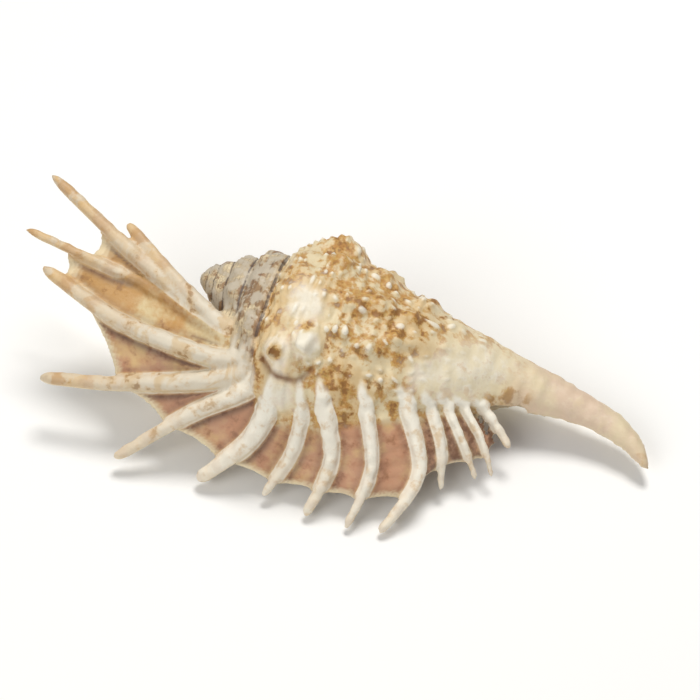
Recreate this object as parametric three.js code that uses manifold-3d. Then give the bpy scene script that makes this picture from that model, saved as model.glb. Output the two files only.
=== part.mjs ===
// A spider conch shell: one grown piece, with its spire, knobbed body whorl, fingered lip and siphonal canal.
//
// Millimetres. X runs along the shell's axis, from the spire at -X to the siphonal canal at +X. The outer lip
// spreads towards -Y, the back of the shell is up, and the shell lies on Z = 0 with its mouth underneath.
import * as THREE from "three";
import { ParametricGeometry } from "three/addons/geometries/ParametricGeometry.js";
import { mergeVertices } from "three/addons/utils/BufferGeometryUtils.js";
import Module from "manifold-3d";

const wasm = await Module();
wasm.setup();

// Spire, body whorl and canal: centre x, y, z and radius of the section at each station along the axis.
const STATIONS = [
  [-39.5, 0, 21, 0],
  [-38.5, 0, 21, 1.6],
  [-35, -0.2, 20.8, 4],
  [-31, -0.5, 20.5, 6.6],
  [-26, -0.8, 19.6, 9.8],
  [-21, -1, 18.8, 12.6],
  [-16, -1.1, 17.8, 15.4],
  [-11, -1.2, 16.8, 17],
  [-4, -1.8, 15.2, 16.4],
  [4, -1.4, 13.8, 14.8],
  [12, 0.5, 12.4, 12.2],
  [19, 3.5, 11.4, 9.2],
  [26, 6.6, 10, 5.9],
  [34, 7.8, 8.6, 4.3],
  [42, 7.8, 7.4, 3.2],
  [49, 6.6, 6, 2.7],
  [54, 3.8, 4.8, 1.9],
  [56.5, 1.6, 4, 0],
];
const SEAM = -30; // degrees, where a section starts and ends, under the lip
const AROUND = 40;
const ALONG = 50;

// The side of the body whorl that swells out and runs down into the lip.
const SHOULDER_X = -19;
const SHOULDER_DEGREES = 10;
const SHOULDER_HEIGHT = 5.5;
const SHOULDER_SPREAD = 38; // degrees
const SHOULDER_REACH = [8, 21]; // towards the spire and towards the canal

// Whorls of the spire, cut by a suture that winds round it, each with a row of nodules.
const WHORL_POLE_X = -41;
const LAST_SUTURE_X = -21.5; // on the back of the shell
const WHORL_GROWTH = 1.5;
const SUTURE_STEP = 0.2; // of the radius
const NODULES = 11; // in each whorl
const NODULE_HEIGHT = 0.07; // of the radius

// Knobs of the body whorl: x, angle round the axis (0 at the lip, 90 on the back), height and half width.
const KNOBS = [
  [-15.1, 35, 3.8, 1.8],
  [-9.6, 44, 4.8, 2.1],
  [-12.8, 76, 1.4, 4.6],
  [-9.9, 106, 3, 2.5],
  [-12.2, 128, 3.8, 3.6],
  [-12, 158, 3, 3.4],
  [-12.5, 192, 2.6, 3.4],
  [-13, 226, 2, 3.2],
  [-4.5, 62, 1.3, 2.2],
  [-3.6, 84, 1.5, 2.4],
  [0.4, 92, 2.2, 2.2],
  [-2.5, 124, 2.4, 2.6],
  [-2.5, 152, 1.8, 2.6],
  [-2.5, 184, 1.2, 2.6],
  [1.5, 60, 1.5, 2.1],
  [5.2, 73, 1.7, 2],
  [8.8, 74, 1.5, 1.9],
  [6.5, 96, 1.8, 2.2],
  [6.5, 120, 1.7, 2.4],
  [6.5, 146, 1.1, 2.4],
  [14, 82, 0.9, 2],
  [14, 112, 1, 2.1],
];
const KNOB_DROP = 1.9; // how much faster a knob falls away towards the lip than towards the back

// Fingers of the lip, from the one beside the spire to the notch by the canal: x and angle where each leaves
// the body whorl, where it bends, its tip and its radius. The first is only the web's edge by the spire.
const FINGERS = [
  [[-24, 40], [-31, -4, 21.5], [-37.5, -1.5, 21.5], 0],
  [[-26.5, 14], [-37.3, -8.4, 25], [-55, 0, 30], 2],
  [[-27.2, 11], [-44.5, -7.1, 26], [-72.5, 2, 35], 1.9],
  [[-25, 12], [-48, -9, 24.5], [-72.5, -10, 31], 1.4],
  [[-22, 11], [-47, -18, 22.2], [-67.5, -13.5, 25.5], 2.1],
  [[-20.5, 8], [-43, -26, 14.6], [-61, -30, 12.4], 2.1],
  [[-18, 6], [-29, -26.8, 13], [-42, -36.5, 3.5], 1.9],
  [[-14, 8], [-16, -27, 12], [-25, -34, 2], 2.3],
  [[-7.6, 12], [-7.9, -26, 10.4], [-11.4, -32.8, 2.4], 1.4],
  [[-4, 18], [0, -25.4, 11], [-2.2, -33.2, 1.2], 1.7],
  [[3.2, 24], [8, -24.2, 10.5], [6.2, -33, 1.2], 1.35],
  [[9.8, 27], [16.6, -20.4, 9], [12.8, -31.4, 1.4], 1.6],
  [[13.8, 25], [18.4, -13.6, 11], [20.4, -18.4, 3.2], 1.1],
  [[16.4, 24], [22, -11, 10.4], [26, -14, 4], 0.9],
  [[19, 20], [24.8, -8.4, 10], [28.6, -12, 4], 0.9],
  [[22, 14], [26, -3.8, 9.8], [30, -6, 6.6], 1.2],
];
const ROOT_DEGREES = 24; // how much further up the back a finger's root lies than where it leaves
const ROOT_DRIFT = 2.4; // how far the later fingers' roots lie towards the spire
const DRIFT_FROM = -16; // x of the fingers where the drift starts, and where it is full
const DRIFT_TO = -4;
const ROOT_DEPTH = 3.6;
const LEAVING_DEPTH = 0.9;
const ROOT_SWELL = 1.1; // of a finger's radius
const TIP_TAPER = 0.62;
const TIP_ROUNDING = 0.06; // of a finger's curve
const FINGER_SIDES = 8;
const FINGER_STEPS = 9;
const TIP_CROWDING = 1.7; // above 1, sections crowd towards the tip

// How far the web runs out along each finger and along the next one, as shares of their curves.
const WEBS = [
  [1, 0.5],
  [0.7, 0.62],
  [0.87, 0.83],
  [0.9, 0.94],
  [0.86, 0.72],
  [0.72, 0.79],
  [0.79, 0.88],
  [0.88, 0.92],
  [0.92, 0.88],
  [0.88, 0.86],
  [0.86, 0.82],
  [0.82, 0.86],
  [0.86, 0.87],
  [0.87, 0.87],
  [0.87, 0.9],
];
const LIP_HALF_THICKNESS = 1;
const LIP_END_STEEPNESS = 6; // how fast the sheet gets its thickness at the first and the last finger
const LIP_DROP = 1.5; // how far the web's middle lies below the fingers' middles
const FULL_WEB_AT = 2.9; // the web stands fuller round this count of fingers, near the body
const FULL_WEB_SPREAD = 0.8;
const FULL_WEB_SHARE = 0.85; // of the drop
const LIP_STEPS_PER_FINGER = 3;
const LIP_LOOP = 12;
const WEB_TURN = 0.15; // of the way from one finger to the next
const WEB_SCALLOP = 0.025; // how far the web draws back between two fingers, as a share of their curves

// The mouth: a narrow hollow inside the body whorl, open along its lower side under the lip.
const MOUTH_FROM = 0.27; // along the stations
const MOUTH_TO = 0.74;
const MOUTH_LOWEST = -62; // degrees
const MOUTH_HIGHEST = 62;
const MOUTH_WIDTH = 0.36; // of the radius
const MOUTH_FLOOR = 0.4; // of the wall
const LIP_OPENING = [-8, 12]; // degrees over which the mouth's outer side closes
const BREAKING_OUT = 3; // how far past the wall's inside the open side reaches
const WALL = 2.4;
const MOUTH_ALONG = 18;
const MOUTH_LOOP = 20;

// The groove under the siphonal canal.
const GROOVE_FROM = 0.62; // along the stations
const GROOVE_RADIUS = 0.5; // of the canal's radius
const GROOVE_LEAST = 1.2; // the least canal radius that the groove is sized by
const GROOVE_OFFSET = 0.75; // of the canal's radius
const GROOVE_ANGLE = -50;
const GROOVE_SIDES = 10;
const GROOVE_STEPS = 12;

const TABLE = [240, 160, 20]; // a slab below the plane that the shell lies on

const SHELL_COLOUR = 0xe2c9a0;

const { lerp, smoothstep, degToRad } = THREE.MathUtils;

const centreLine = new THREE.CatmullRomCurve3(
  STATIONS.map(([x, y, z]) => new THREE.Vector3(x, y, z)),
);
const radiusLine = new THREE.SplineCurve(
  STATIONS.map(([x, , , radius]) => new THREE.Vector2(x, radius)),
);

// A closed geometry as a solid whose faces point outwards.
function solid(geometry) {
  geometry.deleteAttribute("normal");
  geometry.deleteAttribute("uv");
  const merged = mergeVertices(geometry, 1e-3);
  const corners = merged.index.array;
  const kept = [];
  for (let i = 0; i < corners.length; i += 3) {
    const [a, b, c] = corners.slice(i, i + 3);
    if (a !== b && b !== c && c !== a) kept.push(a, b, c);
  }
  const made = new wasm.Manifold(
    new wasm.Mesh({
      numProp: 3,
      vertProperties: merged.attributes.position.array,
      triVerts: new Uint32Array(kept),
    }),
  );
  if (made.volume() > 0) return made;
  return new wasm.Manifold(
    new wasm.Mesh({
      numProp: 3,
      vertProperties: merged.attributes.position.array,
      triVerts: new Uint32Array(kept.reverse()),
    }),
  );
}

// A smooth hump that is 1 at its middle and fades out over its half width.
function hump(distance, halfWidth) {
  return Math.exp(-((distance / halfWidth) ** 2));
}

// Height of a whorl between two sutures, from 0 at its upper suture to its shoulder and its lower edge.
function whorlProfile(across) {
  return smoothstep(across, 0, 0.3) - 0.4 * smoothstep(across, 0.5, 1);
}

// Radius of the section at an angle round the axis, with its swollen side and without what stands on it.
function wallRadius(x, radius, degrees) {
  const reach = SHOULDER_REACH[x < SHOULDER_X ? 0 : 1];
  const swell = hump(x - SHOULDER_X, reach) * hump(degrees - SHOULDER_DEGREES, SHOULDER_SPREAD);
  return radius + SHOULDER_HEIGHT * swell;
}

// How far the surface stands from the axis at an angle round it.
function surfaceRadius(x, radius, degrees) {
  const grown = Math.max(x - WHORL_POLE_X, 0.5) / (LAST_SUTURE_X - WHORL_POLE_X);
  const turns = Math.log(grown) / Math.log(WHORL_GROWTH) + (degrees - 90) / 360;
  const across = turns < 0 ? turns - Math.floor(turns) : turns;
  const nodule = Math.cos(NODULES * degToRad(degrees) + 2 * Math.floor(turns));
  const spire = turns < 0 ? 1 : 0;
  let r = wallRadius(x, radius, degrees) + radius * SUTURE_STEP * (whorlProfile(across) - 0.6);
  r += spire * radius * NODULE_HEIGHT * nodule * hump(across - 0.35, 0.25);
  for (const [knobX, knobDegrees, height, halfWidth] of KNOBS) {
    const drop = degrees < knobDegrees ? KNOB_DROP : 1;
    const sideways = degToRad(degrees - knobDegrees) * radius * drop;
    r += height * hump(Math.hypot(x - knobX, sideways), halfWidth);
  }
  return r;
}

// A point at a distance from the axis and an angle round it, which is 0 at the lip and 90 on the back.
function roundAxis(centre, r, degrees, target) {
  const angle = degToRad(degrees);
  return target.set(centre.x, centre.y - r * Math.cos(angle), centre.z + r * Math.sin(angle));
}

// A point of the shell's outside: along runs 0 to 1 from the apex to the canal's tip.
function bodyPoint(around, along, target) {
  const centre = centreLine.getPoint(along);
  const radius = Math.max(radiusLine.getPoint(along).y, 0);
  const degrees = SEAM + 360 * (around % 1);
  const r = radius > 0 ? surfaceRadius(centre.x, radius, degrees) : 0;
  roundAxis(centre, r, degrees, target);
}

function body() {
  return solid(new ParametricGeometry(bodyPoint, AROUND, ALONG));
}

// A point under the outside of the body whorl, at a station along X and an angle round the axis.
function underSurface(x, degrees, depth) {
  const next = STATIONS.findIndex(([stationX]) => stationX > x);
  const [[x0, y0, z0, r0], [x1, y1, z1, r1]] = [STATIONS[next - 1], STATIONS[next]];
  const mix = (x - x0) / (x1 - x0);
  const centre = new THREE.Vector3(x, lerp(y0, y1, mix), lerp(z0, z1, mix));
  const r = wallRadius(x, lerp(r0, r1, mix), degrees) - depth;
  return roundAxis(centre, r, degrees, centre);
}

// How far a finger's root lies towards the spire from where the finger leaves.
function rootDrift(x) {
  return ROOT_DRIFT * smoothstep(x, DRIFT_FROM, DRIFT_TO);
}

const fingerCurves = FINGERS.map(
  ([[x, degrees], bend, tip]) =>
    new THREE.CatmullRomCurve3([
      underSurface(x - rootDrift(x), degrees + ROOT_DEGREES, ROOT_DEPTH),
      underSurface(x, degrees, LEAVING_DEPTH),
      new THREE.Vector3(...bend),
      new THREE.Vector3(...tip),
    ]),
);

// A finger: a round bar along its curve, thickest near its root and round at its tip.
function finger(curve, thickness) {
  const point = (around, along, target) => {
    const t = 1 - (1 - along) ** TIP_CROWDING;
    const centre = curve.getPoint(t);
    const tangent = curve.getTangent(Math.min(t, 0.999));
    const side = new THREE.Vector3(0, 0, 1).cross(tangent).normalize();
    const up = new THREE.Vector3().crossVectors(tangent, side);
    const beyond = Math.max(0, (t - 1 + TIP_ROUNDING) / TIP_ROUNDING);
    const end = Math.sqrt(Math.max(0, 1 - beyond ** 2));
    const start = Math.sqrt(Math.min(1, t / TIP_ROUNDING));
    const r = thickness * lerp(ROOT_SWELL, TIP_TAPER, t) * end * start;
    const angle = 2 * Math.PI * (around % 1);
    target
      .copy(centre)
      .addScaledVector(side, r * Math.cos(angle))
      .addScaledVector(up, r * Math.sin(angle));
  };
  return solid(new ParametricGeometry(point, FINGER_SIDES, FINGER_STEPS));
}

// How far the web runs out along a finger, on its side towards the finger before it and the one after.
function webShares(finger) {
  const before = finger > 0 ? WEBS[finger - 1][1] : 1;
  const after = finger < WEBS.length ? WEBS[finger][0] : 1;
  return { before, after, mean: (before + after) / 2 };
}

// A point in the sheet of the lip: place counts fingers, reach runs 0 to 1 from the body to the edge. Close
// to a finger the web's share of it runs over to the mean of its two sides.
function lipMiddle(place, reach) {
  const first = Math.min(Math.floor(place), FINGERS.length - 2);
  const mix = place - first;
  const scallop = WEB_SCALLOP * Math.sin(Math.PI * mix);
  const here = webShares(first);
  const next = webShares(first + 1);
  const webA = lerp(here.mean, here.after, smoothstep(mix, 0, WEB_TURN)) - scallop;
  const webB = lerp(next.before, next.mean, smoothstep(mix, 1 - WEB_TURN, 1)) - scallop;
  const a = fingerCurves[first].getPoint(reach * webA);
  const b = fingerCurves[first + 1].getPoint(reach * webB);
  return a.lerp(b, mix);
}

// Upward normal of the web, from its slopes along its edge and outward.
function lipNormal(place, reach) {
  const last = FINGERS.length - 1;
  const step = 0.02;
  const before = lipMiddle(Math.max(place - step, 0), reach);
  const alongEdge = lipMiddle(Math.min(place + step, last), reach).sub(before);
  const inner = lipMiddle(place, Math.max(reach - step, 0));
  const outward = lipMiddle(place, Math.min(reach + step, 1)).sub(inner);
  const normal = alongEdge.cross(outward).normalize();
  return normal.z < 0 ? normal.negate() : normal;
}

// The lip between the fingers: a thin sheet, thinned to nothing at its edges.
function lip() {
  const last = FINGERS.length - 1;
  const point = (along, loop, target) => {
    const place = along * last;
    const upper = loop < 0.5;
    const reach = upper ? 2 * loop : 2 - 2 * loop;
    const edge = Math.sqrt(1 - (2 * reach - 1) ** 10);
    const end = Math.min(1, LIP_END_STEEPNESS * Math.min(along, 1 - along));
    const half = LIP_HALF_THICKNESS * edge * end * (upper ? 1 : -1);
    const full = hump(place - FULL_WEB_AT, FULL_WEB_SPREAD) * smoothstep(1 - reach, 0.2, 0.6);
    const rise = half - LIP_DROP * (1 - FULL_WEB_SHARE * full);
    target.copy(lipMiddle(place, reach)).addScaledVector(lipNormal(place, reach), rise);
  };
  return solid(new ParametricGeometry(point, LIP_STEPS_PER_FINGER * last, LIP_LOOP));
}

// The hollow of the mouth: a crescent that follows the inside of the wall and breaks out under the lip.
function mouth() {
  const point = (along, loop, target) => {
    const t = lerp(MOUTH_FROM, MOUTH_TO, along);
    const centre = centreLine.getPoint(t);
    const radius = radiusLine.getPoint(t).y;
    const outer = loop < 0.5;
    const sweep = outer ? 2 * loop : 2 - 2 * loop;
    const degrees = lerp(MOUTH_LOWEST, MOUTH_HIGHEST, sweep);
    const open = 1 - smoothstep(degrees, ...LIP_OPENING);
    const taper = Math.sqrt(Math.max(0, 1 - (2 * along - 1) ** 6));
    const outerRadius = wallRadius(centre.x, radius, degrees) - WALL + open * (WALL + BREAKING_OUT);
    const innerRadius = radius * (1 - MOUTH_WIDTH) - WALL * MOUTH_FLOOR;
    const middle = (outerRadius + innerRadius) / 2;
    const half = ((outerRadius - innerRadius) / 2) * taper * Math.sqrt(1 - (2 * sweep - 1) ** 8);
    roundAxis(centre, outer ? middle + half : middle - half, degrees, target);
  };
  return solid(new ParametricGeometry(point, MOUTH_ALONG, MOUTH_LOOP));
}

// The open groove along the underside of the canal.
function groove() {
  const point = (around, along, target) => {
    const t = Math.min(lerp(GROOVE_FROM, 1, along), 1);
    const centre = centreLine.getPoint(t);
    const radius = Math.max(radiusLine.getPoint(t).y, GROOVE_LEAST);
    const end = Math.sqrt(Math.max(0, 1 - (2 * along - 1) ** 8));
    roundAxis(centre, radius * GROOVE_OFFSET, GROOVE_ANGLE, centre);
    roundAxis(centre, radius * GROOVE_RADIUS * end, 360 * (around % 1), target);
  };
  return solid(new ParametricGeometry(point, GROOVE_SIDES, GROOVE_STEPS));
}

// Everything below the plane that the shell lies on.
function underTheTable() {
  return solid(new THREE.BoxGeometry(...TABLE).translate(0, 0, -TABLE[2] / 2));
}

// The largest of a solid's separate skins: its outside, with the pockets sealed in between the pieces filled.
function outside(made) {
  const skins = made.decompose();
  return skins.reduce((largest, skin) => (skin.volume() > largest.volume() ? skin : largest));
}

// A solid as a geometry for drawing.
function geometryOf(made) {
  const mesh = made.getMesh();
  const geometry = new THREE.BufferGeometry();
  geometry.setAttribute("position", new THREE.BufferAttribute(mesh.vertProperties, 3));
  geometry.setIndex(new THREE.BufferAttribute(mesh.triVerts, 1));
  geometry.computeVertexNormals();
  return geometry;
}

let shell = body().subtract(mouth()).subtract(groove());
shell = shell.add(lip());
fingerCurves.slice(1).forEach((curve, i) => {
  shell = shell.add(finger(curve, FINGERS[i + 1][3]));
});
shell = shell.subtract(underTheTable());

const mesh = new THREE.Mesh(
  geometryOf(outside(shell)),
  new THREE.MeshStandardMaterial({ color: SHELL_COLOUR, roughness: 0.5, metalness: 0 }),
);
mesh.name = "shell";

const part = new THREE.Group();
part.add(mesh);

export default part;
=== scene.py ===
"""A spider conch shell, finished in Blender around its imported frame.

The shell is one surface. The body whorl with its spire, knobs and canal, the web of the lip and the fingers
are worked out in millimetres as numpy grids and run together into one skin. Its cords, beads and ribs are
raised on that skin, and the numbers that tell the material where it lies are stored with its points.
"""
import math

import bmesh
import bpy
import numpy as np
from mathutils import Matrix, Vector


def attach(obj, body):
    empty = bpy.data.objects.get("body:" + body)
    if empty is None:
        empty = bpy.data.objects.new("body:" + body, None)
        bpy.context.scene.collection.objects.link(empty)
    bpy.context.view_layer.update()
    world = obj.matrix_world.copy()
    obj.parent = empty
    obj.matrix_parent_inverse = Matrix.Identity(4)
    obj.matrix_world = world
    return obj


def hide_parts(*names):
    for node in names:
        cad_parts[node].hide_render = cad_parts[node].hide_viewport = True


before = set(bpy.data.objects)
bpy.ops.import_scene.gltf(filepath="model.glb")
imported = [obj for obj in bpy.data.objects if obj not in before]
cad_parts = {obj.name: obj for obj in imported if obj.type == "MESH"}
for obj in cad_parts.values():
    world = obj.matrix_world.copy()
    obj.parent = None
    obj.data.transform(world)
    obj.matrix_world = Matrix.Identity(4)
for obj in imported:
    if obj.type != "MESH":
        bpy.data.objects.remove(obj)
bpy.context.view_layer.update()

MM = 0.001  # of a metre

# Spire, body whorl and canal: centre x, y, z and radius of the section at each station along the axis.
STATIONS = [
    [-39.5, 0, 21, 0],
    [-38.5, 0, 21, 1.6],
    [-35, -0.2, 20.8, 4],
    [-31, -0.5, 20.5, 6.6],
    [-26, -0.8, 19.6, 9.8],
    [-21, -1, 18.8, 12.6],
    [-16, -1.1, 17.8, 15.4],
    [-11, -1.2, 16.8, 17],
    [-4, -1.8, 15.2, 16.4],
    [4, -1.4, 13.8, 14.8],
    [12, 0.5, 12.4, 12.2],
    [19, 3.5, 11.4, 9.2],
    [26, 6.6, 10, 5.9],
    [34, 7.8, 8.6, 4.3],
    [42, 7.8, 7.4, 3.2],
    [49, 6.6, 6, 2.7],
    [54, 3.8, 4.8, 1.9],
    [56.5, 1.6, 4, 0],
]

# Grid of the body: the angle its rows start at, points round each row, and rows along the axis.
SEAM_DEGREES = -30
AROUND = 180
ALONG = 300

# The swelling of the side towards the lip: where it is highest, how high, and how far it spreads each way.
SHOULDER_X = -19
SHOULDER_DEGREES = 10
SHOULDER_HEIGHT = 5.5
SHOULDER_SPREAD = 38
SHOULDER_REACH = (8, 21)

# The spiral of the spire and its nodules.
WHORL_POLE_X = -41
LAST_SUTURE_X = -21.5
WHORL_GROWTH = 1.5
SUTURE_STEP = 0.2
NODULES = 11
NODULE_HEIGHT = 0.07
LINES_PER_WHORL = 5

# Knobs of the body whorl: x, angle round the axis, height and half width. Each drops faster towards the lip.
KNOBS = [
    [-15.1, 35, 3.8, 1.8],
    [-9.6, 44, 4.8, 2.1],
    [-12.8, 76, 1.4, 4.6],
    [-9.9, 106, 3, 2.5],
    [-12.2, 128, 3.8, 3.6],
    [-12, 158, 3, 3.4],
    [-12.5, 192, 2.6, 3.4],
    [-13, 226, 2, 3.2],
    [-4.5, 62, 1.3, 2.2],
    [-3.6, 84, 1.5, 2.4],
    [0.4, 92, 2.2, 2.2],
    [-2.5, 124, 2.4, 2.6],
    [-2.5, 152, 1.8, 2.6],
    [-2.5, 184, 1.2, 2.6],
    [1.5, 60, 1.5, 2.1],
    [5.2, 73, 1.7, 2],
    [8.8, 74, 1.5, 1.9],
    [6.5, 96, 1.8, 2.2],
    [6.5, 120, 1.7, 2.4],
    [6.5, 146, 1.1, 2.4],
    [14, 82, 0.9, 2],
    [14, 112, 1, 2.1],
]
KNOB_DROP = 1.9

# Fingers of the lip: x and angle where each leaves the body whorl, its bend, its tip and its radius. The
# first is only the edge of the web, against the spire.
FINGERS = [
    [[-24, 40], [-31, -4, 21.5], [-37.5, -1.5, 21.5], 0],
    [[-26.5, 14], [-37.3, -8.4, 25], [-55, 0, 30], 2],
    [[-27.2, 11], [-44.5, -7.1, 26], [-72.5, 2, 35], 1.9],
    [[-25, 12], [-48, -9, 24.5], [-72.5, -10, 31], 1.4],
    [[-22, 11], [-47, -18, 22.2], [-67.5, -13.5, 25.5], 2.1],
    [[-20.5, 8], [-43, -26, 14.6], [-61, -30, 12.4], 2.1],
    [[-18, 6], [-29, -26.8, 13], [-42, -36.5, 3.5], 1.9],
    [[-14, 8], [-16, -27, 12], [-25, -34, 2], 2.3],
    [[-7.6, 12], [-7.9, -26, 10.4], [-11.4, -32.8, 2.4], 1.4],
    [[-4, 18], [0, -25.4, 11], [-2.2, -33.2, 1.2], 1.7],
    [[3.2, 24], [8, -24.2, 10.5], [6.2, -33, 1.2], 1.35],
    [[9.8, 27], [16.6, -20.4, 9], [12.8, -31.4, 1.4], 1.6],
    [[13.8, 25], [18.4, -13.6, 11], [20.4, -18.4, 3.2], 1.1],
    [[16.4, 24], [22, -11, 10.4], [26, -14, 4], 0.9],
    [[19, 20], [24.8, -8.4, 10], [28.6, -12, 4], 0.9],
    [[22, 14], [26, -3.8, 9.8], [30, -6, 6.6], 1.2],
]
# How far the web runs out along each finger and along the next one, as shares of their curves.
WEBS = [
    [1, 0.5],
    [0.7, 0.62],
    [0.87, 0.83],
    [0.9, 0.94],
    [0.86, 0.72],
    [0.72, 0.79],
    [0.79, 0.88],
    [0.88, 0.92],
    [0.92, 0.88],
    [0.88, 0.86],
    [0.86, 0.82],
    [0.82, 0.86],
    [0.86, 0.87],
    [0.87, 0.87],
    [0.87, 0.9],
]

# Where a finger's root lies inside the body, and how deep the finger's middle is where it leaves.
ROOT_DEGREES = 24
ROOT_DRIFT = 2.4
ROOT_DEPTH = 3.6
LEAVING_DEPTH = 0.9

# A finger's radius at its root and tip as shares of its own, the share of its length that its ends take, and
# how much closer its rows lie towards the tip.
FINGER_TAPER = (1.1, 0.62)
FINGER_END = 0.06
ROW_CROWDING = 1.6
CURVE_STEPS = 120
FINGER_ROWS = 70
FINGER_SIDES = 20

# The web: its thickness, the swelling of its rim, how far it lies below the fingers and where it lies nearly
# level with them, the finger that it runs over with no ridge, and how much its edge draws in between two.
LIP_HALF_THICKNESS = 1
LIP_END_STEEPNESS = 6
RIM_SWELL = 0.35
RIM_AT = 0.92
RIM_WIDTH = 0.07
LIP_DROP = 1.5
FULL_WEB = (2.9, 0.8)
FULL_WEB_RISE = 0.85
PLAIN_FINGER = 3
WEB_SCALLOP = 0.025
SHARE_BLEND = 0.15
LIP_STEPS_PER_FINGER = 12
LIP_LOOP = 60
REACH_STEPS = 60

# The mouth and the groove under the canal, each from one share of the axis to another. The wall outside the
# mouth ends between two angles.
MOUTH_FROM = 0.27
MOUTH_TO = 0.74
MOUTH_LOWEST = -62
MOUTH_HIGHEST = 62
MOUTH_WIDTH = 0.36
MOUTH_ROWS = 80
WALL = 2.4
WALL_END_DEGREES = (-8, 12)
WALL_INSIDE = 0.4
BREAKING_OUT = 3

GROOVE_FROM = 0.62
GROOVE_RADIUS = 0.5
GROOVE_LEAST = 1.2
GROOVE_DEPTH = 0.75
GROOVE_ANGLE = -50
GROOVE_ROWS = 60
GROOVE_SIDES = 24

# The skin: size of its faces, passes that smooth it, and how softly it flattens on the floor.
VOXEL = 0.46
SMOOTHING = 3
FLOOR_SOFTNESS = 0.22

# Relief of the outside, in millimetres.
CORD_TURNS = 0.14
CORD_HEIGHT = 0.16
BEADS = 38
BEAD_SCATTER = 12.9898
BEAD_HEIGHT = 0.6
LEAST_BEAD = 0.2
RIB_LENGTH = 26
RIB_WIDTH = 1.2
RIB_HEIGHT = 0.5
ROUGHNESS_HEIGHT = 0.35
GROWTH_HEIGHT = 0.12
WEB_RIPPLES = 13
RIPPLE_HEIGHT = 0.09
KNURL_HEIGHT = 0.14
RIDGE_SPACING = 1.5
RIDGE_HEIGHT = 0.1
SUTURE_DEPTH = 0.4

# The edge under the two biggest knobs, cut in as a groove and painted dark as shadow, as x and angle round
# the axis, and the hollow on the smaller one.
KNOB_EDGE = [[-17, 27], [-14.7, 24], [-12.5, 23], [-9.9, 24], [-8.2, 28], [-7.2, 34]]
KNOB_EDGE_WIDTH = 0.55
KNOB_EDGE_DEPTH = 0.45
KNOB_HOLLOW = [-14.2, 35, 0.9]
KNOB_HOLLOW_DEPTH = 0.8

# Broad colour of the back: x, angle round the axis, half width, and how much more ochre, or whiter below 0.
TONES = [
    [-12.4, 67, 3.8, -1],
    [-9.1, 45, 2.1, -1.5],
    [-14.2, 35, 2.4, -1.1],
    [-14.2, 35, 0.9, 3],
    [-10.5, 54, 0.9, 1.4],
    [-20.5, 29, 1.4, 1.5],
    [-17.6, 20, 1.5, 1.5],
    [-12, 14, 3.5, -0.8],
    [-3, 38, 4, 0.5],
    [0.4, 56, 2.2, 0.9],
    [-2.5, 48, 2.5, -0.5],
    [3, 44, 3, -0.4],
    [-5, 24, 2.6, 0.5],
    [8, 34, 4, 0.3],
    [1, 26, 2.5, 0.5],
    [-3.4, 98, 4.2, 1],
    [3, 60, 6, 0.3],
    [4, 105, 5, 0.4],
    [11, 50, 4, -0.6],
    [0, 150, 9, 0.3],
    [-12, 126, 4, 0.6],
    [-12, 180, 7, 0.4],
    [20, 66, 7, -0.9],
    [27, 12, 3.6, 1.6],
    [34, 50, 7, -0.8],
    [45, 50, 8, -0.8],
]

# Where one colour gives way to another: places along the lip, the number of a finger, how far along it, or x.
ROSY_WEB = (3.9, 4.5)
# The web between the small fingers is darkened from here on as painted shade.
DARK_WEB = (10.8, 11.8)
WHITE_FINGERS = (5.4, 6.6)
WHITE_TIPS = (4.5, 6.5)
TIP = (0.55, 0.95)
NECK = (9, 19)
CANAL = (23, 32)

# The mottle: noises of four sizes, in cells to a metre. The tips' bands: radians to a finger's length.
BROAD_CELLS = 85
PATCH_CELLS = 190
FLECK_CELLS = 420
FINE_CELLS = 1300
TIP_BANDS = 55.0

# The way from a finger's shaded flank to its lit one. Painted shade is darker under the shaded flank.
FLANK_UP = np.array([-0.299, 0.705, 0.643])

# The floor's half width in metres and the strength of the even surround.
FLOOR_HALF = 3.0
SURROUND_STRENGTH = 0.3

# Camera: its viewing angle, in degrees, and what it frames, in millimetres.
CAMERA_AZIMUTH = 23
CAMERA_ELEVATION = 50
CAMERA_RIGHT = -6.2
CAMERA_UP = 10.5
CAMERA_WIDTH = 142
CAMERA_LENS = 135


def smooth(x, low, high):
    """0 below low, 1 above high, with a soft S between."""
    t = np.clip((x - low) / (high - low), 0, 1)
    return t * t * (3 - 2 * t)


def hump(distance, half_width):
    """1 in the middle, fading out over the half width."""
    return np.exp(-((distance / half_width) ** 2))


def mixed(a, b, share):
    """The mean of a and b, the share being b's."""
    return a + (b - a) * share


def through(points, t):
    """Centripetal Catmull-Rom curve through the points, an equal share of t from 0 to 1 for each span."""
    p = np.asarray(points, float)
    p = np.vstack([2 * p[0] - p[1], p, 2 * p[-1] - p[-2]])
    spans = len(p) - 3
    place = np.clip(t, 0, 1) * spans
    i = np.minimum(place.astype(int), spans - 1)
    f = (place - i)[..., None]
    a, b, c, d = p[i], p[i + 1], p[i + 2], p[i + 3]
    before, here, after = (
        np.maximum(np.linalg.norm(q - r, axis=-1, keepdims=True), 1e-6) ** 0.5
        for q, r in ((a, b), (b, c), (c, d))
    )
    leave = ((b - a) / before - (c - a) / (before + here) + (c - b) / here) * here
    arrive = ((c - b) / here - (d - b) / (here + after) + (d - c) / after) * here
    square = 3 * (c - b) - 2 * leave - arrive
    cube = 2 * (b - c) + leave + arrive
    return b + f * (leave + f * (square + f * cube))


def whorl_profile(across):
    """Height of a whorl: low at its upper suture, up to its shoulder, down a little to its lower edge."""
    return smooth(across, 0, 0.3) - 0.4 * smooth(across, 0.5, 1)


def whorl_turns(x, degrees):
    """Turns of the spiral past the last suture: the logarithm of x from the pole, plus the angle's share."""
    grown = np.maximum(x - WHORL_POLE_X, 0.5) / (LAST_SUTURE_X - WHORL_POLE_X)
    return np.log(grown) / math.log(WHORL_GROWTH) + (degrees - 90) / 360


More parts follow.
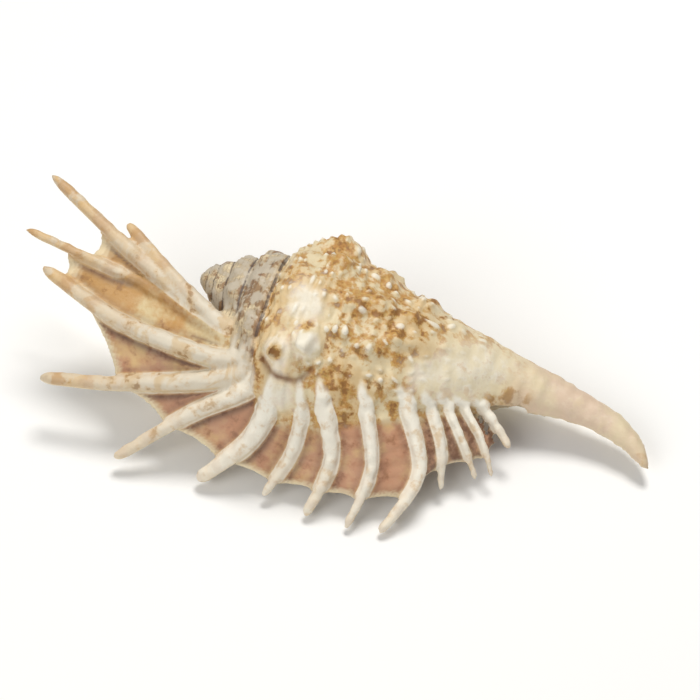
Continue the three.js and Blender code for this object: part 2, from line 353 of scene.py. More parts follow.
def wall_radius(x, radius, degrees):
    """Section radius with its side swollen towards the lip, by a hump along x times a hump round the axis."""
    along = hump(x - SHOULDER_X, np.where(x < SHOULDER_X, *SHOULDER_REACH))
    return radius + SHOULDER_HEIGHT * along * hump(degrees - SHOULDER_DEGREES, SHOULDER_SPREAD)


def surface_radius(x, radius, degrees):
    """Wall radius, stepped at each suture, with a wave of nodules on the spire and a hump for each knob."""
    turns = whorl_turns(x, degrees)
    across = np.where(turns < 0, turns - np.floor(turns), turns)
    nodule = np.cos(NODULES * np.radians(degrees) + 2 * np.floor(turns))
    r = wall_radius(x, radius, degrees) + radius * SUTURE_STEP * (whorl_profile(across) - 0.6)
    r = r + (turns < 0) * radius * NODULE_HEIGHT * nodule * hump(across - 0.35, 0.25)
    for knob_x, knob_degrees, height, half_width in KNOBS:
        sideways = np.radians(degrees - knob_degrees) * radius
        sideways = np.where(sideways < 0, KNOB_DROP, 1) * sideways
        r = r + height * hump(np.hypot(x - knob_x, sideways), half_width)
    return r


def round_axis(centre, r, degrees):
    """Points at radius r from the centres, at an angle round the X axis that starts at the lip side."""
    angle = np.radians(degrees)
    return np.stack(
        [
            centre[..., 0] + 0 * angle,
            centre[..., 1] - r * np.cos(angle),
            centre[..., 2] + r * np.sin(angle),
        ],
        -1,
    )


def closed_tube(rows):
    """Points and faces of a tube whose rows close on themselves, ending in one point at each end."""
    count, size = rows.shape[:2]
    points = np.concatenate([rows[0].mean(0)[None], rows[1:-1].reshape(-1, 3), rows[-1].mean(0)[None]])
    here = np.arange(size)
    beside = (here + 1) % size
    first = 1 + np.arange(count - 3)[:, None] * size
    quads = np.stack([first + here, first + beside, first + size + beside, first + size + here], -1)
    last = 1 + (count - 3) * size
    start = np.stack([0 * here, 1 + beside, 1 + here], -1)
    end = np.stack([last + here, last + beside, 0 * here + len(points) - 1], -1)
    return points, quads.reshape(-1, 4).tolist() + start.tolist() + end.tolist()


def mesh_object(name, points, faces):
    """A new object from points and faces, its faces turned outwards."""
    mesh = bpy.data.meshes.new(name)
    mesh.from_pydata(points.tolist(), [], faces)
    work = bmesh.new()
    work.from_mesh(mesh)
    bmesh.ops.recalc_face_normals(work, faces=work.faces)
    work.to_mesh(mesh)
    work.free()
    made = bpy.data.objects.new(name, mesh)
    bpy.context.scene.collection.objects.link(made)
    return made


def body_surface():
    """Rows along the axis; in each, the surface radius at every angle round it."""
    along = np.linspace(0, 1, ALONG)
    centre = through(STATIONS, along)[:, None]
    degrees = SEAM_DEGREES + 360 * np.arange(AROUND) / AROUND
    radius = np.maximum(centre[..., 3], 0)
    return closed_tube(round_axis(centre, surface_radius(centre[..., 0], radius, degrees), degrees))


def under_surface(x, degrees, depth):
    """The point under the outside of the body whorl at x and an angle round the axis."""
    stations = np.array(STATIONS)
    y, z, radius = (np.interp(x, stations[:, 0], stations[:, i]) for i in (1, 2, 3))
    r = wall_radius(np.float64(x), radius, degrees) - depth
    return round_axis(np.array([x, y, z]), r, degrees)


def root_drift(x):
    """How far a finger's root lies towards the spire from where the finger leaves: an S along the axis."""
    return ROOT_DRIFT * smooth(x, -16, -4)


def finger_curve(row):
    """Curve from under the back of the body whorl, out of its side, over the bend and on to the tip."""
    (x, degrees), bend, tip = row[:3]
    root = under_surface(x - root_drift(x), degrees + ROOT_DEGREES, ROOT_DEPTH)
    leaving = under_surface(x, degrees, LEAVING_DEPTH)
    return through([root, leaving, bend, tip], np.linspace(0, 1, CURVE_STEPS + 1))


CURVES = np.array([finger_curve(row) for row in FINGERS])
WEB_FROM = np.array(WEBS + [[1, 1]])[:, 0]
WEB_TO = np.array([[1, 1]] + WEBS)[:, 1]
WEB_AT = (WEB_FROM + WEB_TO) / 2
THICKNESS = np.array([row[3] for row in FINGERS])


def on_curve(finger, t):
    """Points on the fingers' curves, finger and t being arrays of the same shape."""
    place = np.clip(t, 0, 1) * CURVE_STEPS
    i = np.minimum(place.astype(int), CURVE_STEPS - 1)
    return mixed(CURVES[finger, i], CURVES[finger, i + 1], (place - i)[..., None])


def finger_radius(finger, t):
    """Radius of a finger at t from its root to its tip: a straight taper."""
    return THICKNESS[finger] * mixed(*FINGER_TAPER, t)


def finger_surface(number):
    """A round bar along a finger's curve, its rows closer towards the tip, rounded off at both ends."""
    t = 1 - (1 - np.linspace(0, 1, FINGER_ROWS)) ** ROW_CROWDING
    centre = on_curve(np.full(t.shape, number), t)
    tangent = np.gradient(centre, axis=0)
    tangent /= np.linalg.norm(tangent, axis=1, keepdims=True)
    side = np.cross([0, 0, 1], tangent)
    side /= np.linalg.norm(side, axis=1, keepdims=True)
    up = np.cross(tangent, side)
    end = np.sqrt(np.clip(1 - np.maximum(0, (t - 1 + FINGER_END) / FINGER_END) ** 2, 0, 1))
    start = np.sqrt(np.minimum(1, t / FINGER_END))
    r = (finger_radius(number, t) * end * start)[:, None, None]
    angle = (2 * np.pi * np.arange(FINGER_SIDES) / FINGER_SIDES)[:, None]
    ring = side[:, None] * np.cos(angle) + up[:, None] * np.sin(angle)
    return closed_tube(centre[:, None] + r * ring)


def lip_middle(place, reach):
    """Middle of the web: between two neighbouring fingers' curves, each run as far as its web reaches.

    Close to a finger the web's share of it runs over to the mean of its shares on the finger's two sides.
    """
    first = np.minimum(place.astype(int), len(FINGERS) - 2)
    share = place - first
    scallop = WEB_SCALLOP * np.sin(np.pi * share)
    web_a = mixed(WEB_AT[first], WEB_FROM[first], smooth(share, 0, SHARE_BLEND)) - scallop
    web_b = mixed(WEB_TO[first + 1], WEB_AT[first + 1], smooth(share, 1 - SHARE_BLEND, 1)) - scallop
    return mixed(on_curve(first, reach * web_a), on_curve(first + 1, reach * web_b), share[..., None])


def lip_normal(place, reach):
    """Upward normal of the web, from its slopes along and across."""
    step = 0.02
    last = len(FINGERS) - 1
    next_place, last_place = np.minimum(place + step, last), np.maximum(place - step, 0)
    further, nearer = np.minimum(reach + step, 1), np.maximum(reach - step, 0)
    along = lip_middle(next_place, reach) - lip_middle(last_place, reach)
    out = lip_middle(place, further) - lip_middle(place, nearer)
    normal = np.cross(along, out)
    normal /= np.linalg.norm(normal, axis=-1, keepdims=True) + 1e-9
    return np.where(normal[..., 2:] < 0, -normal, normal)


def lip_surface():
    """The web as a thin closed sheet: each row runs out on its upper side and back on its under side."""
    last = len(FINGERS) - 1
    place = np.linspace(0, last, LIP_STEPS_PER_FINGER * last + 1)[:, None]
    loop = np.arange(LIP_LOOP) / LIP_LOOP
    reach = np.where(loop < 0.5, 2 * loop, 2 - 2 * loop) + 0 * place
    place = place + 0 * loop
    rim = 1 + RIM_SWELL * hump(reach - RIM_AT, RIM_WIDTH)
    edge = np.sqrt(1 - (2 * reach - 1) ** 10)
    end = np.minimum(1, LIP_END_STEEPNESS * np.minimum(place / last, 1 - place / last))
    half = LIP_HALF_THICKNESS * rim * edge * end * np.where(loop < 0.5, 1, -1)
    level = hump(place - FULL_WEB[0], FULL_WEB[1]) * smooth(1 - reach, 0.2, 0.6)
    drop = LIP_DROP * (1 - FULL_WEB_RISE * level)
    return closed_tube(lip_middle(place, reach) + lip_normal(place, reach) * (half - drop)[..., None])


def mouth_surface():
    """The hollow of the mouth: a crescent inside the wall that breaks out under the lip.

    Its middle and half width are those of the space between the wall and the inner whorl, tapered at the
    ends.
    """
    along = np.linspace(0, 1, MOUTH_ROWS)[:, None]
    loop = np.arange(MOUTH_ROWS) / MOUTH_ROWS
    centre = through(STATIONS, mixed(MOUTH_FROM, MOUTH_TO, along))
    radius = centre[..., 3]
    sweep = np.where(loop < 0.5, 2 * loop, 2 - 2 * loop)
    degrees = mixed(MOUTH_LOWEST, MOUTH_HIGHEST, sweep)
    open_share = 1 - smooth(degrees, *WALL_END_DEGREES)
    taper = np.sqrt(np.clip(1 - (2 * along - 1) ** 6, 0, 1))
    outer = wall_radius(centre[..., 0], radius, degrees) - WALL + open_share * (WALL + BREAKING_OUT)
    inner = radius * (1 - MOUTH_WIDTH) - WALL * WALL_INSIDE
    half = (outer - inner) / 2 * taper * np.sqrt(1 - (2 * sweep - 1) ** 8)
    r = (outer + inner) / 2 + np.where(loop < 0.5, half, -half)
    return closed_tube(round_axis(centre, r, degrees + 0 * r))


def groove_surface():
    """The open groove under the canal: a tube set off from the canal's middle, down and to the lip side."""
    along = np.linspace(0, 1, GROOVE_ROWS)[:, None]
    centre = through(STATIONS, mixed(GROOVE_FROM, 1, along))
    radius = np.maximum(centre[..., 3], GROOVE_LEAST)
    lean = math.radians(GROOVE_ANGLE)
    angle = 2 * np.pi * np.arange(GROOVE_SIDES) / GROOVE_SIDES
    r = radius * GROOVE_RADIUS * np.sqrt(np.clip(1 - (2 * along - 1) ** 8, 0, 1))
    out = radius * GROOVE_DEPTH
    return closed_tube(
        np.stack(
            [
                centre[..., 0] + 0 * angle,
                centre[..., 1] - out * math.cos(lean) - r * np.cos(angle),
                centre[..., 2] + out * math.sin(lean) + r * np.sin(angle),
            ],
            -1,
        )
    )


def settled(piece):
    """The piece's mesh with its modifiers applied, as a new mesh; the piece itself is removed."""
    shown = piece.evaluated_get(bpy.context.evaluated_depsgraph_get())
    mesh = bpy.data.meshes.new_from_object(shown)
    bpy.data.objects.remove(piece)
    return mesh


def mesh_arrays(mesh):
    """Points and faces of a mesh, the faces as lists."""
    points = np.empty(len(mesh.vertices) * 3)
    mesh.vertices.foreach_get("co", points)
    corners = np.empty(len(mesh.loops), int)
    mesh.loops.foreach_get("vertex_index", corners)
    sizes = np.empty(len(mesh.polygons), int)
    mesh.polygons.foreach_get("loop_total", sizes)
    faces = [part.tolist() for part in np.split(corners, np.cumsum(sizes)[:-1])]
    return points.reshape(-1, 3), faces


def carved_body():
    """The body with its mouth and its groove cut out."""
    whole = mesh_object("whole", *body_surface())
    tools = [mesh_object("mouth", *mouth_surface()), mesh_object("groove", *groove_surface())]
    for tool in tools:
        cut = whole.modifiers.new("cut", "BOOLEAN")
        cut.operation = "DIFFERENCE"
        cut.solver = "MANIFOLD"
        cut.object = tool
    mesh = settled(whole)
    for tool in tools:
        bpy.data.objects.remove(tool)
    return mesh_arrays(mesh)


def skin():
    """All the parts run together into one skin of small, even faces, as a mesh in millimetres."""
    parts = [carved_body(), lip_surface()] + [finger_surface(i) for i in range(1, len(FINGERS))]
    points, faces, offset = [], [], 0
    for part_points, part_faces in parts:
        points.append(part_points)
        faces += [[corner + offset for corner in face] for face in part_faces]
        offset += len(part_points)
    rough = mesh_object("rough", np.concatenate(points), faces)
    remesh = rough.modifiers.new("skin", "REMESH")
    remesh.mode = "VOXEL"
    remesh.voxel_size = VOXEL
    blend = rough.modifiers.new("blend", "SMOOTH")
    blend.factor = 0.5
    blend.iterations = SMOOTHING
    return settled(rough)


def nearest(points, samples):
    """Index of the sample nearest to each point, from the product of the two arrays, a slice at a time."""
    samples = samples.astype(np.float32)
    size = (samples**2).sum(1)
    slices = np.array_split(points.astype(np.float32), len(points) // 4000 + 1)
    return np.concatenate([(size - 2 * part @ samples.T).argmin(1) for part in slices])


def waves(points, length, seed):
    """A smooth field of about -1 to 1, set by its seed: plane waves of one length in random directions."""
    count = 22
    random = np.random.default_rng(seed)
    ways = random.normal(size=(3, count))
    ways *= 2 * np.pi / length / np.linalg.norm(ways, axis=0)
    return np.cos(points @ ways + random.uniform(0, 2 * np.pi, count)).mean(1) * 3


def beside(points, numbers):
    """The nearest of the numbered fingers, how far along and out of it a point lies, and its middle there."""
    samples = CURVES[numbers].reshape(-1, 3)
    near = nearest(points, samples)
    finger = np.array(numbers)[near // (CURVE_STEPS + 1)]
    t = near % (CURVE_STEPS + 1) / CURVE_STEPS
    aside = np.linalg.norm(points - samples[near], axis=1) - finger_radius(finger, t)
    return finger, t, aside, samples[near]


class Place:
    """Where each point of the skin lies on the body, the web and the fingers, and how ochre it is."""

    def __init__(self, points, normals):
        line = through(STATIONS, np.linspace(0, 1, 3000))
        self.points = points
        self.x = points[:, 0]
        centre_y, centre_z, radius = (np.interp(self.x, line[:, 0], line[:, i]) for i in (1, 2, 3))
        self.radius = np.maximum(radius, 0.3)
        side, rise = centre_y - points[:, 1], points[:, 2] - centre_z
        self.degrees = (np.degrees(np.arctan2(rise, side)) + 90) % 360 - 90
        self.out = np.hypot(side, rise) - surface_radius(self.x, self.radius, self.degrees)
        self.turns = whorl_turns(self.x, self.degrees)

        last = len(FINGERS) - 1
        places = np.linspace(0, last, LIP_STEPS_PER_FINGER * last + 1)[:, None]
        reaches = np.linspace(0, 1, REACH_STEPS)[None]
        near = nearest(points, lip_middle(places + 0 * reaches, reaches + 0 * places).reshape(-1, 3))
        self.place = np.repeat(places.ravel(), REACH_STEPS)[near]
        self.reach = np.tile(reaches.ravel(), len(places))[near]

        numbers = list(range(1, len(FINGERS)))
        self.finger, self.t, self.aside, self.foot = beside(points, numbers)
        numbers.remove(PLAIN_FINGER)
        ridge_aside = mixed(beside(points, numbers)[2], self.aside, smooth(self.t, 0.6, 0.75))

        self.tone = 0 * self.x
        for x, degrees, half_width, amount in TONES:
            sideways = np.radians(self.degrees - degrees) * self.radius
            self.tone += amount * hump(np.hypot(self.x - x, sideways), half_width)

        self.off_body = smooth(self.out, 0.5, 2.2)
        self.inside = smooth(-self.out, 0.8, 1.8)
        self.on_finger = (1 - smooth(self.aside, 0.2, 1.3)) * smooth(self.out, -0.6, 0.6)
        self.under = smooth(-normals[:, 2], 0.05, 0.45)
        self.on_web = self.off_body * (1 - self.on_finger)
        self.on_ridge = (1 - smooth(ridge_aside, 0, 0.9)) * smooth(self.out, -0.6, 0.6)
        # Painted shade: the web beside each ridge is darkened, more under the finger's shaded flank.
        beneath = smooth((self.foot - points) @ FLANK_UP, 0.2, 1.6)
        self.crease_shade = (1 - self.on_ridge) * hump(ridge_aside - 0.9, 0.9) * smooth(self.out, 0, 1)
        self.crease_shade = self.crease_shade * mixed(0.4, 1, beneath)


def rib_share(where):
    """1 along the ribs that run up the body from the fingers, fading over their length and width."""
    share = 0 * where.x
    for row in FINGERS[1:]:
        x, degrees = row[0]
        run = where.degrees - degrees
        length = smooth(run, -6, 2) * (1 - smooth(run, 0, RIB_LENGTH))
        aside = where.x - x + root_drift(x) * run / ROOT_DEGREES
        share = np.maximum(share, length * hump(aside, RIB_WIDTH))
    return share * (1 - where.off_body) * (1 - where.inside)


def bead_share(where):
    """Cords that follow the whorl, a wave across them, and beads on them, that wave times one along them."""
    row = where.turns / CORD_TURNS + 0.3 * waves(where.points, 6, 21)
    cord = 0.5 + 0.5 * np.cos(2 * np.pi * row)
    shift = np.sin(BEAD_SCATTER * np.round(row)) * 3 + 2.4 * waves(where.points, 6, 22)
    bead = 0.5 + 0.5 * np.cos(BEADS * np.radians(where.degrees) + shift)
    uneven = np.clip(0.55 + 1.1 * waves(where.points, 5, 23), 0.02, 1.5)
    fewer = mixed(LEAST_BEAD, 1, smooth(where.degrees, 20, 44))
    return cord, cord * bead**1.5 * uneven * fewer


def unrolled(x, degrees):
    """The body's surface laid flat round the big knobs: x, and the angle as a length."""
    return np.stack([x, np.radians(degrees) * max(row[3] for row in STATIONS)], -1)


def knob_edge_share(where):
    """1 along the edge under the two biggest knobs, fading over its width: where the groove is cut and the
    shadow is painted.
    """
    edge = through(KNOB_EDGE, np.linspace(0, 1, 80))
    edge = unrolled(edge[:, 0], edge[:, 1])
    place = unrolled(where.x, where.degrees)
    apart = np.linalg.norm(place - edge[nearest(place, edge)], axis=1)
    return hump(apart, KNOB_EDGE_WIDTH) * (1 - where.off_body) * (1 - where.inside)


def neck_share(where):
    """1 on the smooth neck between the body whorl and the canal."""
    return smooth(where.x, *NECK)


def relief(where, ribs, cord, beads, knob_groove_and_shade):
    """Height of the outside above the plain skin: each kind of relief times the share of it that a point has.

    The beads are low where the colour is all ochre or all white.
    """
    beads = beads * (1 - 0.6 * np.clip(where.tone - 0.8, 0, 1)) * (1 - 0.6 * np.clip(-where.tone, 0, 1))
    body = (1 - where.off_body) * (1 - where.inside) * smooth(where.degrees, -30, 0)
    body = body * (1 - smooth(where.degrees, 215, 245))
    strength = body * (1 - 0.85 * neck_share(where)) * (0.35 + 0.65 * smooth(where.x, -26, -18))
    height = strength * (CORD_HEIGHT * cord + BEAD_HEIGHT * beads) * (1 - 0.7 * ribs)
    off_suture = where.turns - np.round(where.turns)
    height = height - SUTURE_DEPTH * hump(off_suture, 0.05) * (where.turns < 0.3) * (1 - where.off_body)
    height = height + RIB_HEIGHT * ribs - KNOB_EDGE_DEPTH * knob_groove_and_shade
    x, degrees, half_width = KNOB_HOLLOW
    hollow = np.linalg.norm(unrolled(where.x, where.degrees) - unrolled(x, degrees), axis=1)
    height = height - KNOB_HOLLOW_DEPTH * hump(hollow, half_width) * (1 - where.off_body) * (1 - where.inside)
    height = height + ROUGHNESS_HEIGHT * body * waves(where.points, 5.5, 3) * (1 - 0.6 * neck_share(where))
    growth = waves(where.points * [1, 0.25, 0.25], 1.9, 5)
    height = height + GROWTH_HEIGHT * body * growth
    upper_web = where.on_web * (1 - where.under)
    ripple = np.cos(2 * np.pi * where.reach * WEB_RIPPLES + 4 * waves(where.points, 9, 8))
    patchy = 0.5 + 0.5 * waves(where.points, 11, 9)
    height = height + upper_web * RIPPLE_HEIGHT * ripple * np.clip(patchy, 0, 1)
    knurl = waves(where.points, 2.6, 12)
    height = height + KNURL_HEIGHT * where.on_finger * (1 - where.under) * knurl
    ridges = np.cos(2 * np.pi * where.x / RIDGE_SPACING + 0.5 * waves(where.points, 12, 6))
    inside_lip = where.under * where.off_body * (1 - smooth(where.reach, 0.5, 0.7))
    return height + RIDGE_HEIGHT * inside_lip * ridges


def shell_mesh():
    """The finished skin: raised by its relief, settled on the floor, and marked for the material.

    Each mark is one number for each point, stored under the name that the material reads.
    """
    mesh = skin()
    count = len(mesh.vertices) * 3
    points, normals = np.empty(count), np.empty(count)
    mesh.vertices.foreach_get("co", points)
    mesh.vertices.foreach_get("normal", normals)
    points, normals = points.reshape(-1, 3), normals.reshape(-1, 3)
    where = Place(points, normals)
    ribs = rib_share(where)
    cord, beads = bead_share(where)
    knob_groove_and_shade = knob_edge_share(where)
    points = points + normals * relief(where, ribs, cord, beads, knob_groove_and_shade)[:, None]
    points[:, 2] = FLOOR_SOFTNESS * np.logaddexp(0, points[:, 2] / FLOOR_SOFTNESS)
    mesh.vertices.foreach_set("co", (points * MM).ravel())
    tan_tip = smooth(where.t, *TIP) * mixed(1, 0.35, smooth(where.finger, *WHITE_TIPS))
    fields = {
        "rib": np.maximum(ribs, where.on_ridge * (1 - 0.4 * where.under)),
        "tip": where.on_finger * where.off_body * tan_tip,
        "finger_run": where.t + where.finger,
        "bead": beads,
        "web": where.off_body * (1 - where.on_ridge),
        "reach": where.reach,
        "rosy": smooth(where.place, *ROSY_WEB),
        "small_finger_shade": smooth(where.place, *DARK_WEB),
        "under": where.under,
        "throat": where.inside,
        "neck": neck_share(where),
        "spire": (1 - smooth(where.turns, -0.15, 0.1)) * (1 - where.off_body),
        "turns": where.turns,
        "tone": where.tone * (1 - where.off_body),
        "crease_shade": where.crease_shade,
        "knob_groove_and_shade": knob_groove_and_shade,
        "bone": 1 - smooth(where.finger, *WHITE_FINGERS),
        "canal": smooth(where.x, *CANAL),
    }
    for name, values in fields.items():
        layer = mesh.attributes.new(name, "FLOAT", "POINT")
        layer.data.foreach_set("value", values.astype(np.float32))
    mesh.polygons.foreach_set("use_smooth", np.ones(len(mesh.polygons), bool))
    mesh.update()
    return mesh


class Value:
    """A number that varies over the surface: a node's output that can be added, multiplied and compared."""

    def __init__(self, tree, socket):
        self.tree = tree
        self.socket = socket

    def math(self, operation, *values):
        node = self.tree.nodes.new("ShaderNodeMath")
        node.operation = operation
        for slot, value in zip(node.inputs, values):
            join(self.tree, slot, value)
        return Value(self.tree, node.outputs[0])

    def __add__(self, other):
        return self.math("ADD", self, other)

    __radd__ = __add__

    def __sub__(self, other):
        return self.math("SUBTRACT", self, other)

    def __rsub__(self, other):
        return self.math("SUBTRACT", other, self)

    def __mul__(self, other):
        return self.math("MULTIPLY", self, other)

    __rmul__ = __mul__

    def __pow__(self, other):
        return self.math("POWER", self, other)

    def sine(self):
        return self.math("SINE", self)

    def between(self, low, high):
        """0 below low and 1 above high, with a soft S between."""
        node = self.tree.nodes.new("ShaderNodeMapRange")
        node.interpolation_type = "SMOOTHSTEP"
        for slot, value in zip(node.inputs, (self, low, high, 0.0, 1.0)):
            join(self.tree, slot, value)
        return Value(self.tree, node.outputs[0])


def join(tree, slot, value):
    """Links a Value to a socket, or sets the socket's own number or colour."""
    if isinstance(value, Value):
        tree.links.new(value.socket, slot)
    else:
        slot.default_value = value


class Paint:
    """A material's node tree, with one method that adds any node."""

    def __init__(self, name):
        self.material = bpy.data.materials.new(name)
        self.material.use_nodes = True
        self.tree = self.material.node_tree
        self.shader = self.tree.nodes["Principled BSDF"]

    def node(self, kind, settings=None, output=0, **sockets):
        """A new node with its settings and its sockets' values or links; returns one of its outputs."""
        made = self.tree.nodes.new("ShaderNode" + kind)
        for name, value in (settings or {}).items():
            setattr(made, name, value)
        for name, value in sockets.items():
            join(self.tree, made.inputs[name.replace("_", " ")], value)
        return Value(self.tree, made.outputs[output])

    def attribute(self, name):
        return self.node("Attribute", {"attribute_name": name}, output="Fac")

    def noise(self, scale, detail=3.0, roughness=0.55, distortion=0.0):
        place = self.node("TexCoord", output="Object")
        return self.node(
            "TexNoise", Vector=place, Scale=scale, Detail=detail, Roughness=roughness, Distortion=distortion
        )

    def mix(self, first, second, share):
        """One colour over another, by a share of 0 to 1."""
        made = self.tree.nodes.new("ShaderNodeMix")
        made.data_type = "RGBA"
        made.clamp_factor = True
        for slot, value in zip((made.inputs[0], made.inputs[6], made.inputs[7]), (share, first, second)):
            join(self.tree, slot, value)
        return Value(self.tree, made.outputs[2])

    def set(self, **sockets):
        """Values or links of the shader's own sockets."""
        for name, value in sockets.items():
            join(self.tree, self.shader.inputs[name.replace("_", " ")], value)

    def bump(self, height, distance, strength):
        self.set(Normal=self.node("Bump", Height=height, Distance=distance, Strength=strength))


def colour(red, green, blue):
    return (red, green, blue, 1.0)


IVORY = colour(0.80, 0.69, 0.47)
CREAM = colour(0.70, 0.59, 0.38)
BONE = colour(0.66, 0.59, 0.47)
PINK = colour(0.66, 0.49, 0.36)
WHITE = colour(0.88, 0.84, 0.73)
OCHRE = colour(0.46, 0.21, 0.035)
GOLD = colour(0.56, 0.34, 0.09)
BROWN = colour(0.20, 0.08, 0.02)
TAN = colour(0.64, 0.42, 0.18)
OLIVE = colour(0.63, 0.51, 0.28)
ROSE = colour(0.50, 0.25, 0.15)
SLATE = colour(0.50, 0.44, 0.35)
FAWN = colour(0.36, 0.26, 0.13)
PURPLE = colour(0.20, 0.075, 0.06)
UMBER = colour(0.11, 0.045, 0.03)
INK = colour(0.09, 0.07, 0.065)
FLOOR_COLOUR = colour(0.93, 0.93, 0.92)


def shell_material():
    """Cream mottled with ochre and brown, white ribs and beads, rosy webs and a glossy under side."""
    paint = Paint("conch_shell")
    rib, web, tip, bead, reach, run = (
        paint.attribute(name) for name in ("rib", "web", "tip", "bead", "reach", "finger_run")
    )
    rosy, small_finger_shade, under, throat, neck, canal = (
        paint.attribute(name) for name in ("rosy", "small_finger_shade", "under", "throat", "neck", "canal")
    )
    spire, turns, tone, crease_shade, knob_groove_and_shade, bone = (
        paint.attribute(name) for name in ("spire", "turns", "tone", "crease_shade", "knob_groove_and_shade", "bone")
    )
    broad = paint.noise(BROAD_CELLS, 4, 0.6)
    patch = paint.noise(PATCH_CELLS, 4, 0.62, distortion=0.6)
    fleck = paint.noise(FLECK_CELLS, 3, 0.6)
    fine = paint.noise(FINE_CELLS, 3, 0.6)

    # The back: ochre and brown between white beads, more or less of each where the broad tone says so.
    mottle = 0.6 * fleck + 0.4 * patch
    ochre_share = (mottle - 0.12 * bead + 0.07 * tone).between(0.45, 0.57)
    skin_colour = paint.mix(CREAM, TAN, (broad + 0.06 * tone).between(0.44, 0.62) * 0.6)
    ochre_colour = paint.mix(GOLD, OCHRE, fine.between(0.35, 0.6))
    skin_colour = paint.mix(skin_colour, ochre_colour, ochre_share * 0.9)
    dark_share = (fleck + 0.6 * (broad - 0.5) + 0.09 * tone).between(0.56, 0.68)
    skin_colour = paint.mix(skin_colour, BROWN, dark_share * ochre_share * 0.7)
    white_share = (bead - 0.4 + 0.8 * fleck).between(0.35, 0.85) * (1 - tone.between(0.6, 1.4))
    skin_colour = paint.mix(skin_colour, WHITE, white_share * 0.7)
    pale_share = (0.9 * fleck + 0.3 * patch - 0.6 * tone - 0.3).between(0.35, 0.85)
    skin_colour = paint.mix(skin_colour, WHITE, pale_share * 0.75)

    # The spire: slate and fawn, with dark lines that run along the spiral, and a darker line painted in each
    # suture as shade.
    spire_colour = paint.mix(SLATE, FAWN, (0.5 * patch + 0.5 * fleck).between(0.44, 0.58) * 0.8)
    spire_colour = paint.mix(spire_colour, IVORY, (0.5 * fleck + 0.5 * patch).between(0.5, 0.58) * 0.8)
    spire_colour = paint.mix(spire_colour, BROWN, (fleck + 0.6 * (broad - 0.5)).between(0.54, 0.64) * 0.75)
    line = 1 - ((turns * (math.pi * LINES_PER_WHORL) + 1.5 * patch).sine() ** 2).between(0.02, 0.2)
    line = line * fleck.between(0.4, 0.6)
    spire_colour = paint.mix(spire_colour, INK, line * 0.5)
    skin_colour = paint.mix(skin_colour, spire_colour, spire * 0.9)
    # Painted shade: a dark ink line in each suture groove.
    suture = 1 - ((turns * math.pi).sine() ** 2).between(0.004, 0.022)
    suture = suture * (1 - turns.between(0.1, 0.15)) * (1 - web) * (1 - rib)
    suture = suture * fleck.between(0.3, 0.5)
    skin_colour = paint.mix(skin_colour, INK, suture * 0.85)

    # The neck and the canal, and the painted shadow along the edge under the big knobs.
    clear = 1 - (0.5 * patch + 0.5 * fleck).between(0.46, 0.6)
    skin_colour = paint.mix(skin_colour, IVORY, neck * clear * 0.65)
    skin_colour = paint.mix(skin_colour, TAN, neck * fleck.between(0.5, 0.64) * 0.4)
    canal_colour = paint.mix(CREAM, PINK, broad.between(0.35, 0.6))
    skin_colour = paint.mix(skin_colour, canal_colour, canal * (1 - fleck.between(0.5, 0.66) * 0.6) * 0.85)
    # Painted shadow: brown along the edge under the two biggest knobs.
    skin_colour = paint.mix(skin_colour, BROWN, knob_groove_and_shade * (0.75 + 0.8 * (fleck - 0.5)))

    # The web: tawny near the spire, rosy towards the canal, with painted shade beside the ribs and between
    # the small fingers, pale at its edge.
    tawny = paint.mix(OLIVE, OCHRE, (broad + 0.3 * fleck + 0.2 * reach).between(0.62, 0.85) * 0.8)
    rose_colour = paint.mix(TAN, ROSE, (broad + 0.3 * fleck).between(0.45, 0.7))
    web_colour = paint.mix(tawny, rose_colour, rosy)
    web_colour = paint.mix(web_colour, BROWN, fleck.between(0.55, 0.72) * 0.5)
    # Painted shade beside the ribs, deepest under their shaded flanks.
    web_colour = paint.mix(web_colour, UMBER, crease_shade * (0.6 + 0.6 * fleck))
    # Painted shade: the web between the small fingers is darkened in umber.
    web_colour = paint.mix(web_colour, UMBER, small_finger_shade * fleck.between(0.35, 0.55) * 0.8)
    web_colour = paint.mix(web_colour, IVORY, reach.between(0.93, 0.99))
    web_share = web * (reach + 0.2 * patch).between(0.48, 0.66)
    skin_colour = paint.mix(skin_colour, web_colour, web_share * 0.9)

    # The ribs and fingers: white, or bone near the spire, with banded tan tips.
    rib_colour = paint.mix(WHITE, BONE, bone * 0.85)
    rib_colour = paint.mix(rib_colour, TAN, fleck.between(0.5, 0.7) * 0.55)
    rib_colour = paint.mix(rib_colour, GOLD, patch.between(0.5, 0.62) * (bone * 0.45))
    rib_colour = paint.mix(rib_colour, BROWN, (fleck + 0.4 * patch).between(0.8, 0.92) * (bone * 0.6))
    rib_share = (rib + 0.5 * (fleck - 0.5)).between(0.3, 0.75)
    skin_colour = paint.mix(skin_colour, rib_colour, rib_share * 0.92)
    band = (run * TIP_BANDS + 5.0 * fleck).sine().between(-0.2, 0.9)
    tip_colour = paint.mix(TAN, BONE, patch.between(0.46, 0.56) * 0.7)
    tip_colour = paint.mix(tip_colour, OCHRE, band * 0.7)
    skin_colour = paint.mix(skin_colour, tip_colour, tip * 0.8)

    # The glossy under side: ivory, purple inside the lip and in the mouth.
    under_colour = paint.mix(IVORY, TAN, broad.between(0.45, 0.65) * 0.4)
    inner = under * web.between(0.2, 0.8) * (1 - reach.between(0.45, 0.85))
    under_colour = paint.mix(under_colour, PURPLE, inner * 0.7)
    skin_colour = paint.mix(skin_colour, under_colour, under * 0.85)
    skin_colour = paint.mix(skin_colour, PURPLE, throat * 0.85)

    gloss = under * 0.25 + throat * 0.2
    paint.set(Base_Color=skin_colour, Roughness=0.52 - gloss + 0.12 * (fine - 0.5))
    paint.set(Specular_IOR_Level=0.45)
    paint.bump(0.6 * fine + fleck, 0.0003, 0.5)
    return paint.material


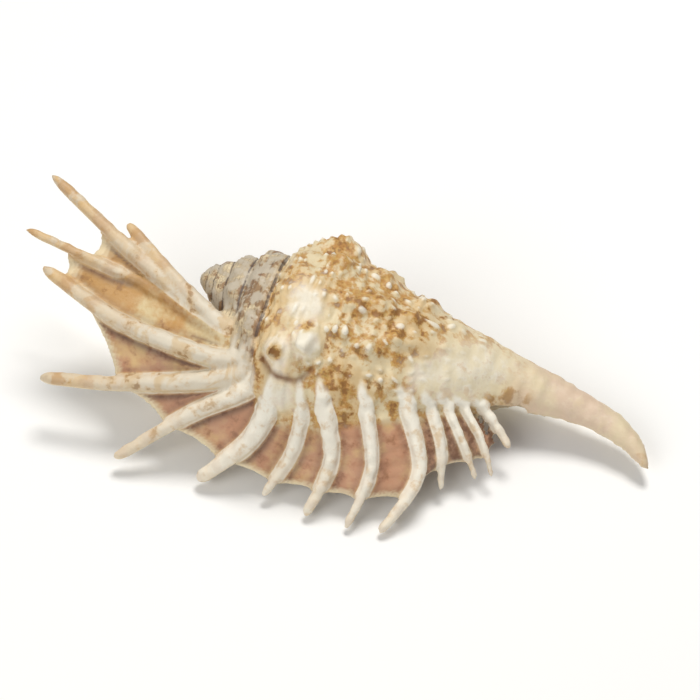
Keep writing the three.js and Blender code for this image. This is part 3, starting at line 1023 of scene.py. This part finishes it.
def floor_material():
    """Pale matt paper with the faintest mottle."""
    paint = Paint("floor")
    paint.set(Base_Color=paint.mix(FLOOR_COLOUR, colour(0.9, 0.9, 0.89), paint.noise(6)), Roughness=0.9)
    return paint.material


def direction(azimuth, elevation):
    """Unit vector from the object towards a viewer at an azimuth and an elevation, in degrees."""
    a, e = math.radians(azimuth), math.radians(elevation)
    return np.array([math.sin(a) * math.cos(e), -math.cos(a) * math.cos(e), math.sin(e)])


def looking(made, place, back):
    """Puts a camera or a lamp at a place, in millimetres, with its back towards a direction."""
    made.location = (place * MM).tolist()
    made.rotation_euler = Vector(back.tolist()).to_track_quat("Z", "Y").to_euler()
    bpy.context.scene.collection.objects.link(made)


def camera():
    """A long lens at the camera's angle, framing the whole shell."""
    back = direction(CAMERA_AZIMUTH, CAMERA_ELEVATION)
    right = np.array([math.cos(math.radians(CAMERA_AZIMUTH)), math.sin(math.radians(CAMERA_AZIMUTH)), 0])
    up = np.cross(back, right)
    data = bpy.data.cameras.new("camera")
    data.lens = CAMERA_LENS
    data.clip_start = 0.01
    distance = CAMERA_WIDTH * CAMERA_LENS / data.sensor_width
    made = bpy.data.objects.new("camera", data)
    looking(made, right * CAMERA_RIGHT + up * CAMERA_UP + back * distance, back)
    bpy.context.scene.camera = made


def lamp(name, azimuth, elevation, distance, size, power, tint):
    """A round area lamp that shines at the shell: distance in millimetres, size in metres, power in watts."""
    data = bpy.data.lights.new(name, "AREA")
    data.shape = "DISK"
    data.size = size
    data.energy = power
    data.color = tint
    back = direction(azimuth, elevation)
    looking(bpy.data.objects.new(name, data), back * distance, back)


def studio():
    """A pale floor, a soft key from above and behind, a fill from the front and an even surround."""
    points = np.array([[-1, -1, 0], [1, -1, 0], [1, 1, 0], [-1, 1, 0]]) * FLOOR_HALF
    floor = mesh_object("floor", points, [[0, 1, 2, 3]])
    floor.data.materials.append(floor_material())
    lamp("key", azimuth=185, elevation=70, distance=700, size=0.25, power=3.2, tint=(1, 0.98, 0.95))
    lamp("fill", azimuth=345, elevation=42, distance=900, size=0.6, power=3.2, tint=(1, 0.99, 0.97))
    world = bpy.data.worlds.new("surround")
    world.use_nodes = True
    background = world.node_tree.nodes["Background"]
    background.inputs["Color"].default_value = (1, 1, 1, 1)
    background.inputs["Strength"].default_value = SURROUND_STRENGTH
    bpy.context.scene.world = world
    bpy.context.scene.view_settings.view_transform = "Standard"


def finished_shell():
    """The shell in its colours, riding on the one body in place of the plain solid."""
    mesh = shell_mesh()
    mesh.materials.clear()
    mesh.materials.append(shell_material())
    made = bpy.data.objects.new("conch_shell", mesh)
    bpy.context.scene.collection.objects.link(made)
    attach(made, "root")
    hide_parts("shell")


finished_shell()
studio()
camera()
